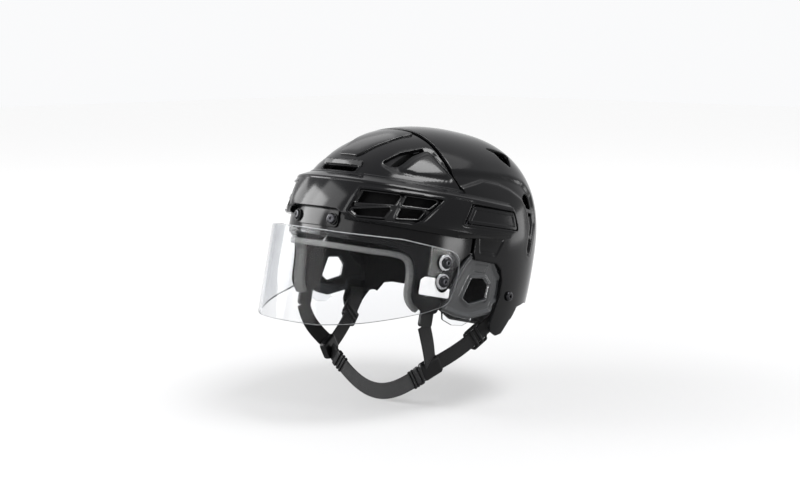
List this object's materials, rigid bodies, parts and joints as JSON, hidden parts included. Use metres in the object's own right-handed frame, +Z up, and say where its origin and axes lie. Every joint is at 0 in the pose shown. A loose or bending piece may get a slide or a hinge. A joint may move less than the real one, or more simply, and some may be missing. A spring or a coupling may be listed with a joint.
{
  "type": "ice hockey helmet",
  "caption": "Two-shell ice hockey helmet with vents, size slide and latches, clear half visor, ear guards, foam and felt lining, and a webbing chin strap.",
  "frame": {"origin": "middle of the head cavity, between the temples", "axes": "the helmet faces -Y with its front tipped up, +X is the wearer's left, +Z up"},
  "size_m": [0.223, 0.3042, 0.2656],
  "materials": {
    "black_shell": "glossy",
    "black_trim": "satin",
    "black_grille": "matte",
    "black_rubber": "matte",
    "black_screw": "satin",
    "steel": "satin",
    "clear_visor": "clear",
    "clear_bush": "clear",
    "clear_lip": "clear",
    "smoke_guard": "translucent",
    "white_plate": "glossy",
    "charcoal_foam": "matte",
    "grey_felt": "matte",
    "black_webbing": "woven"
  },
  "bodies": {
    "front": {"front_shell": "black_shell", "forehead_plate": "black_trim", "forehead_screws": "black_screw", "forehead_grommets": "black_rubber", "side_grille_left": "black_grille", "side_grille_right": "black_grille", "latch_pin_left": "steel", "latch_pin_right": "steel", "visor_bushes_left": "clear_bush", "visor_bushes_right": "clear_bush", "visor_washers_left": "steel", "visor_washers_right": "steel", "visor_screws_left": "black_screw", "visor_screws_right": "black_screw", "visor_nuts_left": "steel", "visor_nuts_right": "steel", "brow_pad": "charcoal_foam", "brow_felt": "grey_felt", "temple_pad_left": "charcoal_foam", "temple_pad_right": "charcoal_foam", "temple_felt_left": "grey_felt", "temple_felt_right": "grey_felt", "crown_pad_front": "charcoal_foam", "snap_tab_left": "black_trim", "snap_tab_right": "black_trim", "snap_stud_left": "steel", "snap_stud_right": "steel", "front_strap_left": "black_webbing", "front_strap_right": "black_webbing", "junction_keeper_left": "black_rubber", "junction_keeper_right": "black_rubber"},
    "rear": {"rear_shell": "black_shell", "ear_guard_left": "smoke_guard", "ear_guard_right": "smoke_guard", "ear_guard_lip_left": "clear_lip", "ear_guard_lip_right": "clear_lip", "lobe_screw_left": "black_screw", "lobe_screw_right": "black_screw", "side_pad_left": "charcoal_foam", "side_pad_right": "charcoal_foam", "nape_pad": "charcoal_foam", "crown_pad_rear": "charcoal_foam", "rear_strap_left": "black_webbing", "rear_strap_right": "black_webbing", "tri_glide_left": "black_trim", "tri_glide_right": "black_trim", "strap_clip_left": "black_trim", "strap_clip_right": "black_trim"},
    "visor": {"visor": "clear_visor", "visor_blank_plate": "white_plate"},
    "latch_left": {"size_latch_left": "black_trim"},
    "latch_right": {"size_latch_right": "black_trim"},
    "chin": {"chin_strap": "black_webbing"}
  },
  "joints": [
    {"name": "size_slide", "type": "slide", "parent": "front", "child": "rear", "axis": [0, 0.9744, -0.225], "range_m": [0, 0.012]},
    {"name": "visor_height", "type": "slide", "parent": "front", "child": "visor", "axis": [0, 0.225, 0.9744], "range_m": [-0.003, 0.003]},
    {"name": "latch_turn_left", "type": "hinge", "parent": "front", "child": "latch_left", "pos_m": [0.10233, -0.02583, 0.01905], "axis": [0.0956, -0.6016, -0.793], "range_deg": [0, 70]},
    {"name": "latch_turn_right", "type": "hinge", "parent": "front", "child": "latch_right", "pos_m": [-0.10233, -0.02583, 0.01905], "axis": [0.0956, 0.6016, 0.793], "range_deg": [0, 70]},
    {"name": "chin_swing", "type": "hinge", "parent": "front", "child": "chin", "pos_m": [0, -0.0465, -0.129], "axis": [1, 0, 0], "range_deg": [-20, 20]}
  ]
}
